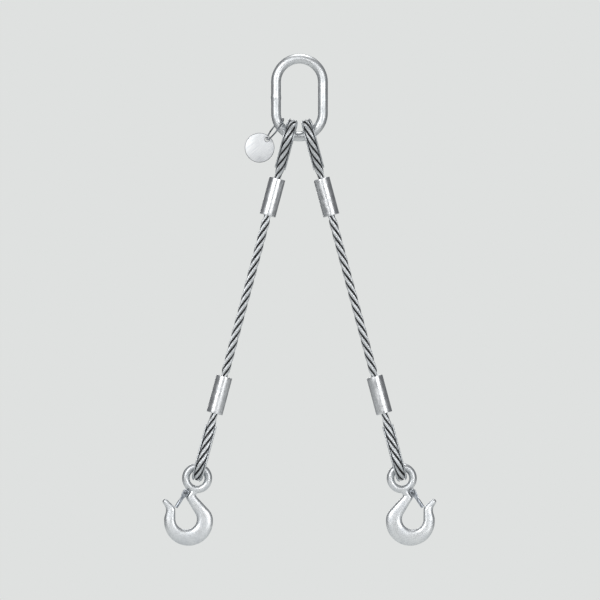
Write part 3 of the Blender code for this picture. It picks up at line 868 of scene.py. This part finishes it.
def spring_line():
    """A torsion spring round the pin: one leg under the latch's web, one along the hook's neck."""
    points = []

    def leg_point(direction, distance, offset, y):
        out = distance * math.sin(direction) + offset * math.cos(direction)
        down = distance * math.cos(direction) - offset * math.sin(direction)
        points.append(Vector((out, y, -down)))

    neck_lean = math.radians(35.4)
    under_web = 3.0 * MM - 1.6 * MM - GAP - SPRING_WIRE_RADIUS
    leg_point(LATCH_LEAN, 19 * MM, under_web, SPRING_FIRST_Y)
    leg_point(LATCH_LEAN, 14 * MM, under_web, SPRING_FIRST_Y)
    leg_point(LATCH_LEAN, 9 * MM, (under_web + SPRING_COIL_RADIUS) / 2, SPRING_FIRST_Y)
    leg_point(LATCH_LEAN, 4 * MM, SPRING_COIL_RADIUS, SPRING_FIRST_Y)
    start = LATCH_LEAN + math.pi / 2
    turn = 5 * math.pi - (LATCH_LEAN - neck_lean)
    for i in range(91):
        a = start + turn * i / 90
        y = SPRING_FIRST_Y + SPRING_PITCH * turn * i / 90 / (2 * math.pi)
        points.append(Vector((SPRING_COIL_RADIUS * math.sin(a), y, -SPRING_COIL_RADIUS * math.cos(a))))
    last_y = SPRING_FIRST_Y + SPRING_PITCH * turn / (2 * math.pi)
    leg_point(neck_lean, 7 * MM, -SPRING_COIL_RADIUS, last_y)
    return points, last_y


def build_spring():
    points, last_y = spring_line()
    bm = bmesh.new()
    frames = frames_along([LATCH_PIN + point for point in points], Vector((0, 1, 0)))
    sweep(bm, circle(bm, SPRING_WIRE_RADIUS, 12), frames)
    settled(bm)

    def fix(obj, tag, side):
        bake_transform(obj)
        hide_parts("latch_spring_" + tag)

    pair("spring", bm, SPRING_STEEL, fix)


# ---------------------------------------------------------------- tag

TAG_HOLE = Vector(JOINTS["tag_swing"]["pos_m"])
TAG_LEAN = math.radians(42.4)
TAG_RADIUS = 24 * MM
TAG_HOLE_RADIUS = 3.3 * MM
TAG_HOLE_INSET = 18 * MM
TAG_CENTRE = TAG_HOLE + Vector((-math.sin(TAG_LEAN), 0, -math.cos(TAG_LEAN))) * TAG_HOLE_INSET
TAG_SHEET = brushed_disc("brushed_aluminium_sheet", TAG_CENTRE, TAG_RADIUS, TAG_HOLE, TAG_HOLE_RADIUS)


def tag_ring_mesh():
    """Wire bent to a ring, its two ends butted together behind the tag."""
    seat_angle, seat_radius = math.radians(70.7), 27.95 * MM
    seat = BEND_CENTRE + Vector((-math.sin(seat_angle), 0, -math.cos(seat_angle))) * seat_radius
    hang = TAG_HOLE - seat
    along, radius = hang.normalized(), hang.length / 2
    across = Matrix.Rotation(math.radians(-11.5), 3, along) @ Vector((0, 1, 0))
    centre = seat + along * radius
    bm = bmesh.new()
    count = 96
    start = math.radians(62)
    opening = 0.35 * MM / radius
    points = []
    for i in range(count + 1):
        a = start + opening + (2 * math.pi - 2 * opening) * i / count
        points.append(centre + (along * math.cos(a) + across * math.sin(a)) * radius)
    frames = frames_along(points, along.cross(across))
    wire = 1.25 * MM
    ends = [frames[0] @ Matrix.Translation((0, 0, -z * MM)) @ Matrix.Diagonal((k, k, 1, 1)) for z, k in ((0.25, 0.7), (0.1, 0.93))]
    closing = [frames[-1] @ Matrix.Translation((0, 0, z * MM)) @ Matrix.Diagonal((k, k, 1, 1)) for z, k in ((0.1, 0.93), (0.25, 0.7))]
    sweep(bm, circle(bm, wire, 16), ends + frames + closing)
    return settled(bm)


def tag_mesh():
    """A punched disc with a hole, its sharp edges rounded off alike on both faces and round the hole."""
    bm = bmesh.new()
    face_to_camera = Matrix.Rotation(math.pi / 2, 4, "X")
    rim = circle(bm, TAG_RADIUS, 128, Matrix.Translation(TAG_CENTRE) @ face_to_camera)
    hole = circle(bm, TAG_HOLE_RADIUS, 48, Matrix.Translation(TAG_HOLE) @ face_to_camera)
    bmesh.ops.triangle_fill(bm, edges=ring_edges(rim) + ring_edges(hole), use_beauty=True, normal=(0, -1, 0))
    settled(bm)
    bmesh.ops.solidify(bm, geom=bm.faces[:] + bm.edges[:] + bm.verts[:], thickness=2 * MM)
    middle = sum(v.co.y for v in bm.verts) / len(bm.verts)
    bmesh.ops.translate(bm, vec=(0, -middle, 0), verts=bm.verts)
    settled(bm)
    edges = [e for e in bm.edges if e.is_manifold and e.calc_face_angle(0) > math.radians(60)]
    bmesh.ops.bevel(
        bm, geom=edges, offset=0.45 * MM, offset_type="OFFSET", affect="EDGES", segments=4, profile=0.5, material=-1
    )
    return settled(bm)


# ---------------------------------------------------------------- assembly


def build_pieces():
    link = piece("link", link_mesh(), LINK_ZINC)
    riding("master_link", "master_link")(link, "", 0)
    build_rope()
    for end, half, arc_u, down, mouth, ferrule_u in (
        ("top", "upper", TOP_ARC_U, 1, TOP_MOUTH, TOP_FERRULE_U),
        ("bottom", "lower", BOTTOM_ARC_U, -1, BOTTOM_MOUTH, BOTTOM_FERRULE_U),
    ):
        body = "leg_{}_" + half
        fix = riding(body, end + "_thimble_{}")
        pair(end + "_thimble_look", thimble_mesh(arc_u, down, mouth), THIMBLE_ZINC, fix)
        fix = riding(body, end + "_ferrule_{}")
        pair(end + "_ferrule_look", ferrule_mesh(ferrule_u), SLEEVES["right"], fix)
        left = bpy.data.objects[end + "_ferrule_look_left"]
        left.data.materials[0] = SLEEVES["left"]
    pair("hook_look", hook_mesh(), HOOK_ZINC, riding("hook_{}", "hook_{}"))
    pair("latch_look", latch_mesh(), LATCH_ZINC, riding("latch_{}", "latch_{}"))
    pair("latch_pin_look", pin_mesh(), PIN_STEEL, riding("hook_{}", "latch_pin_{}"))
    build_spring()
    ring = piece("tag_ring_look", tag_ring_mesh(), RING_WIRE)
    riding("tag_ring", "tag_ring")(ring, "", 0)
    tag = piece("tag_look", tag_mesh(), TAG_SHEET)
    riding("tag", "tag")(tag, "", 0)


# ---------------------------------------------------------------- floor, light, camera

BACKDROP = "DFE1E0"


def build_floor():
    """A plain pale floor below the hanging sling, which fades into the background at its rim."""
    bm = bmesh.new()
    bmesh.ops.create_circle(
        bm, cap_ends=True, segments=96, radius=2.8, matrix=Matrix.Translation((0, 0, cad_low.z - 0.22))
    )
    material, tree, shader, place = new_material("pale_floor", Roughness=0.9, Specular_IOR_Level=0.2)
    shader.inputs["Base Color"].default_value = srgb("E2E4E3")
    shader.inputs["Emission Color"].default_value = srgb(BACKDROP)
    shader.inputs["Emission Strength"].default_value = 0.16
    flat = add(tree, "VectorMath", {0: (place, "Object"), 1: (1, 1, 0)}, operation="MULTIPLY")
    reach = add(tree, "VectorMath", {0: (flat, 0)}, operation="LENGTH")
    fade = spread(tree, (reach, "Value"), 0.7, 2.6, 0.0, 1.0)
    clear = add(tree, "BsdfTransparent", {})
    blend = add(tree, "MixShader", {0: (fade, 0), 1: (shader, 0), 2: (clear, 0)})
    tree.links.new(blend.outputs[0], tree.nodes["Material Output"].inputs["Surface"])
    piece("floor", bm, material)


def build_light():
    """A pale surround, two big soft boxes from the front, and softer ones from above and behind."""
    world = bpy.data.worlds.new("studio")
    world.use_nodes = True
    bpy.context.scene.world = world
    tree = world.node_tree
    seen = tree.nodes["Background"]
    seen.inputs["Color"].default_value = srgb(BACKDROP)
    cast = add(tree, "Background", {"Color": srgb("CDD1D6"), "Strength": 0.2})
    ray = add(tree, "LightPath", {})
    blend = add(tree, "MixShader", {0: (ray, "Is Camera Ray"), 1: (cast, 0), 2: (seen, 0)})
    tree.links.new(blend.outputs[0], tree.nodes["World Output"].inputs["Surface"])
    middle = (cad_low + cad_high) / 2
    for name, at, size, watts in (
        ("key", (-1.7, -3.2, 0.9), 2.2, 66),
        ("fill", (1.9, -3.2, 0.1), 2.2, 42),
        ("top", (0.2, 0.4, 2.4), 1.6, 30),
        ("back", (-0.5, 3.4, 0.3), 1.6, 20),
    ):
        light = bpy.data.lights.new(name, "AREA")
        light.size = size
        light.energy = watts
        obj = bpy.data.objects.new(name, light)
        obj.location = Vector(at)
        obj.rotation_euler = (middle - Vector(at)).to_track_quat("-Z", "Y").to_euler()
        obj.visible_camera = False
        bpy.context.scene.collection.objects.link(obj)


def build_camera():
    """Straight on and level, from far enough away that the view is nearly flat."""
    distance, width = 12.0, 0.972
    camera = bpy.data.cameras.new("camera")
    camera.sensor_width = 36
    camera.lens = 36 * distance / width
    camera.clip_end = 60
    obj = bpy.data.objects.new("camera", camera)
    obj.location = (0.94 * MM, -distance, -383 * MM)
    obj.rotation_euler = (math.pi / 2, 0, 0)
    bpy.context.scene.collection.objects.link(obj)
    bpy.context.scene.camera = obj


bpy.context.scene.view_settings.view_transform = "Standard"
build_camera()
build_pieces()
build_floor()
build_light()
